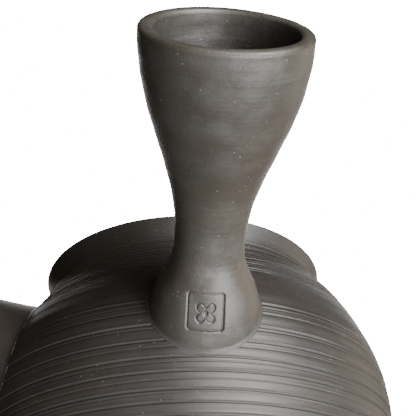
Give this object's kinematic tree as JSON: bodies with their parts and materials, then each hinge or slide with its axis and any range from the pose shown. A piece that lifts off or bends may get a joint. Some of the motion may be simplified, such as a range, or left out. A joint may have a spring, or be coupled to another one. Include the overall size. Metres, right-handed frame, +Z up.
{
  "type": "side-handle teapot",
  "caption": "Round unglazed black clay teapot with a hollow flared side handle, a tapering spout, an inner strainer and a lift-off lid.",
  "frame": {"origin": "centre of the flat base, on the table", "axes": "+Z up the pot's axis; -Y toward the open end of the side handle, which also rises; the spout points close to -X, turned 8 degrees toward the handle, and rises"},
  "size_m": [0.1441, 0.1661, 0.0987],
  "materials": {
    "clay": "satin, unglazed, with turned lines",
    "clay_spout": "satin, unglazed",
    "clay_handle": "satin, burnished by hand",
    "clay_strainer": "matt, unglazed",
    "clay_lid": "satin, unglazed",
    "clay_knob": "satin, unglazed",
    "slip": "matt, smoothed by finger"
  },
  "bodies": {
    "pot": {"body": "clay", "spout": "clay_spout", "handle": "clay_handle", "strainer": "clay_strainer", "handle_luting": "slip", "spout_luting": "slip", "strainer_luting": "slip"},
    "lid": {"lid": "clay_lid", "lid_knob": "clay_knob"}
  },
  "joints": [
    {"name": "lid_lift", "type": "slide", "parent": "pot", "child": "lid", "axis": [0, 0, 1], "range_m": [0, 0.08]}
  ]
}
